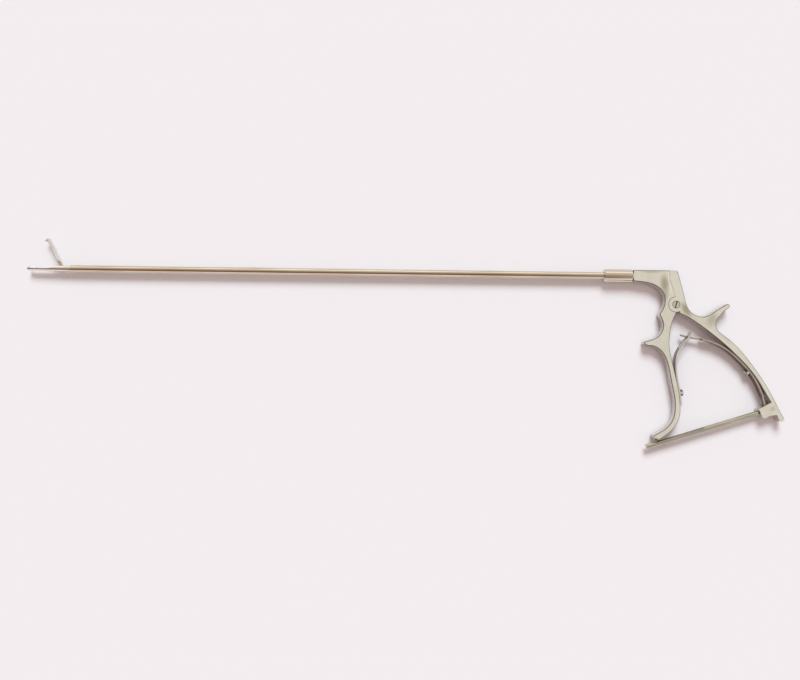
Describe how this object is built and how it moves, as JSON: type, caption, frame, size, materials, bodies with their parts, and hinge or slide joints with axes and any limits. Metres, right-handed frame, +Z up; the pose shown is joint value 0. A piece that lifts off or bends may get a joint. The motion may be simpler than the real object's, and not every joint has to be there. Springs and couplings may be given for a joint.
{
  "type": "uterine grasping forceps",
  "caption": "Long-shafted grasping forceps: pistol handles with leaf springs and a toothed rack pull a rod in a thin tube, closing a hinged jaw on a fixed jaw.",
  "frame": {"origin": "middle of the underside of the bounding box, with the instrument lying on its side", "axes": "+X along the shaft from the jaws to the handles, +Y from the grips to the head, +Z up through the handle plates"},
  "size_m": [0.4746, 0.127, 0.0083],
  "materials": {
    "satin_steel": "satin",
    "polished_steel": "polished",
    "spring_steel": "satin",
    "screw_steel": "polished",
    "rack_steel": "satin"
  },
  "bodies": {
    "frame": {"front_handle": "satin_steel", "collar": "polished_steel", "shaft_tube": "polished_steel", "rod_guide_bush": "polished_steel", "fixed_jaw": "polished_steel", "jaw_pivot_pin": "polished_steel", "front_spring": "spring_steel", "front_spring_screw": "screw_steel"},
    "thumb_lever": {"rear_handle": "satin_steel", "pivot_screw": "screw_steel", "pivot_nut": "screw_steel", "rear_spring": "spring_steel", "rear_spring_screw": "screw_steel", "rack_pin": "screw_steel"},
    "rack": {"ratchet_rack": "rack_steel"},
    "pull_rod": {"drive_rod": "polished_steel", "rod_yoke": "polished_steel", "rod_ball": "polished_steel"},
    "jaw": {"upper_jaw": "polished_steel", "jaw_crank_pin": "polished_steel"}
  },
  "joints": [
    {"name": "squeeze", "type": "hinge", "parent": "frame", "child": "thumb_lever", "pos_m": [0.1689, 0.02731, 0.00415], "axis": [0, 0, -1], "range_deg": [0, 10.75], "stiffness_Nm_per_rad": 1, "springref_deg": -8.59},
    {"name": "rod_pull", "type": "slide", "parent": "frame", "child": "pull_rod", "axis": [1, 0, 0], "range_m": [0, 0.00334]},
    {"name": "jaw_close", "type": "hinge", "parent": "frame", "child": "jaw", "pos_m": [-0.2159, 0.04606, 0.00415], "axis": [0, 0, 1], "range_deg": [0, 64.05]},
    {"name": "rack_swing", "type": "hinge", "parent": "thumb_lever", "child": "rack", "pos_m": [0.2261, -0.03879, 0.00415], "axis": [0, 0, 1], "range_deg": [0, 5.6]}
  ],
  "couplings": [
    {"joint": "rod_pull", "follows": "squeeze", "m_per_rad": 0.017681},
    {"joint": "jaw_close", "follows": "squeeze", "ratio": 5.9535},
    {"joint": "rack_swing", "follows": "squeeze", "ratio": 0.5148}
  ]
}
